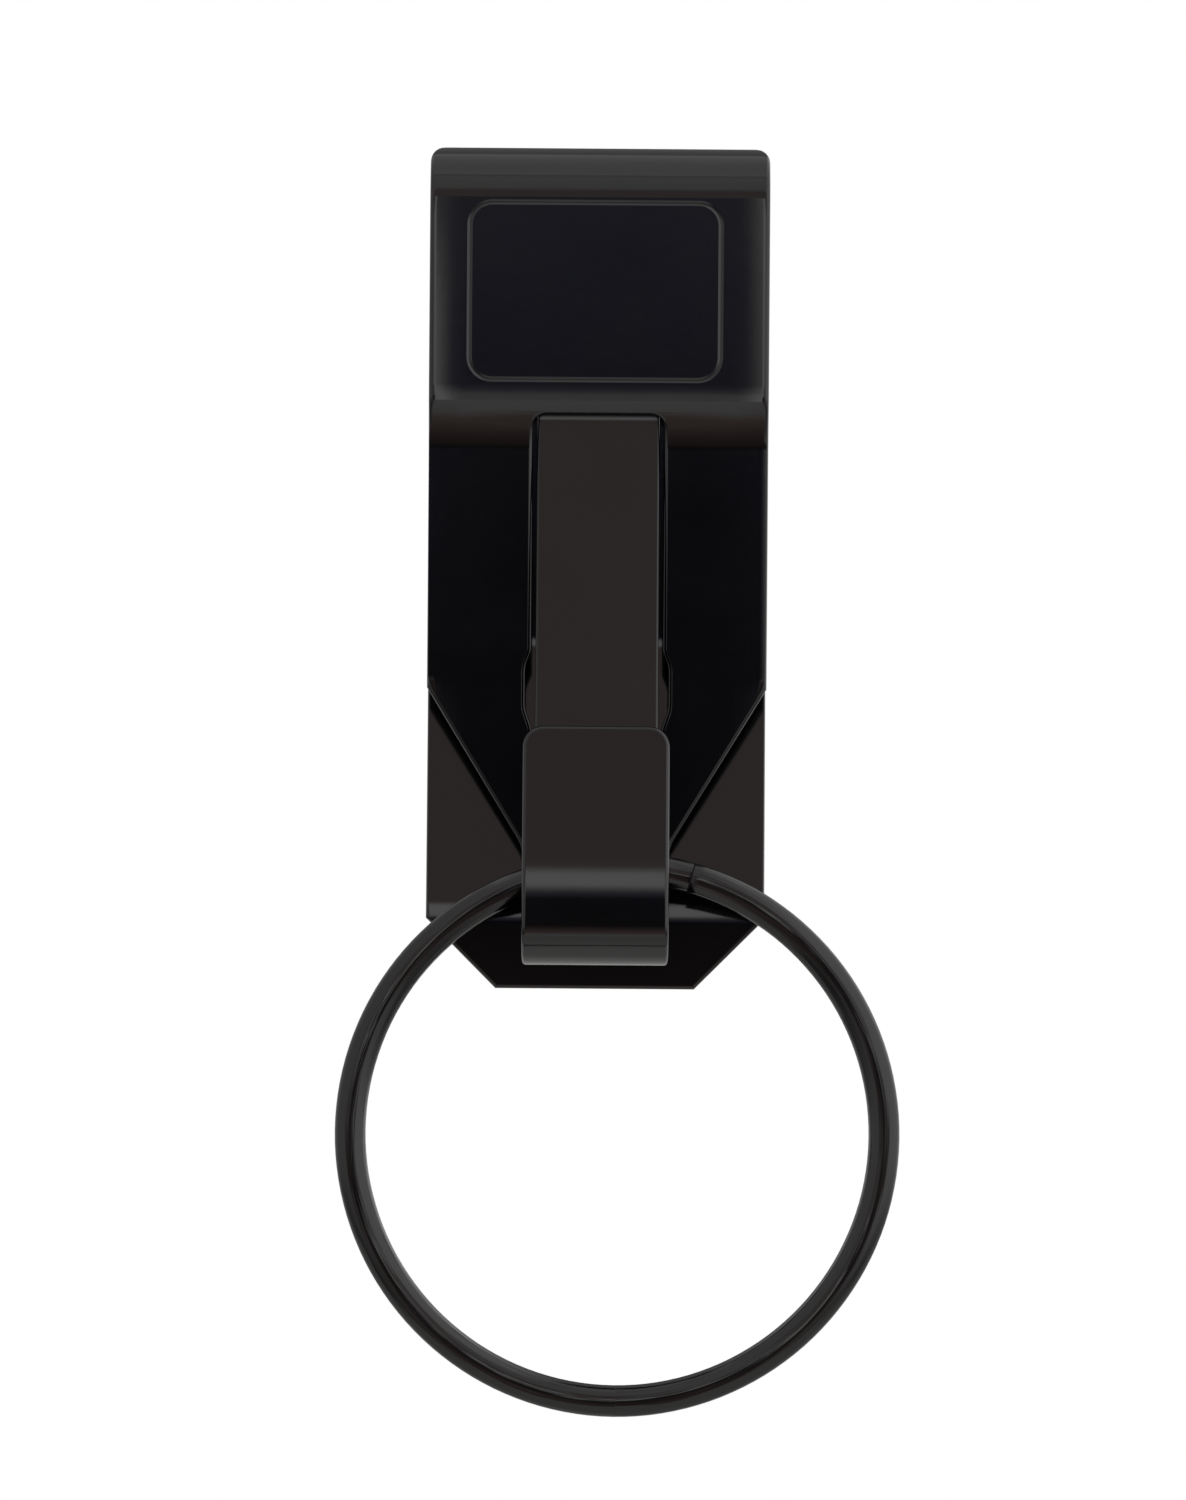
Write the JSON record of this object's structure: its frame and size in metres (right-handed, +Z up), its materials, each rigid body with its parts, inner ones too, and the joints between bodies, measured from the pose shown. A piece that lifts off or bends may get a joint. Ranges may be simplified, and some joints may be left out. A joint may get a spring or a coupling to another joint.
{
  "type": "belt key clip",
  "caption": "Folded spring-steel belt clip with a front hook, a leaf-spring gate that closes the hook, and a split key ring hanging in it.",
  "frame": {"origin": "under the top fold, in the middle of the gap that takes the belt and of the strip's width", "axes": "+Z up as worn, +Y back towards the wearer, +X to the right as seen from the front"},
  "size_m": [0.0382, 0.0128, 0.0859],
  "materials": {
    "strip": "black gloss coat on spring steel",
    "gate": "black gloss coat on thin spring steel",
    "ring": "black gloss coat on tempered wire"
  },
  "bodies": {
    "clip": {"front_clip": "strip"},
    "leaf": {"back_leaf": "strip"},
    "gate": {"gate_spring": "gate"},
    "ring": {"split_ring": "ring"}
  },
  "joints": [
    {"name": "leaf_flex", "type": "hinge", "parent": "clip", "child": "leaf", "pos_m": [0, 0.0033, -0.00285], "axis": [1, 0, 0], "range_deg": [0, 10], "stiffness_Nm_per_rad": 5},
    {"name": "gate_press", "type": "hinge", "parent": "clip", "child": "gate", "pos_m": [0, -0.0033, -0.0057], "axis": [1, 0, 0], "range_deg": [0, 6.5], "stiffness_Nm_per_rad": 1.2},
    {"name": "ring_swing", "type": "hinge", "parent": "clip", "child": "ring", "pos_m": [0.0016, -0.0055, -0.04788], "axis": [-1, 0, 0], "range_deg": [-15, 170]}
  ]
}
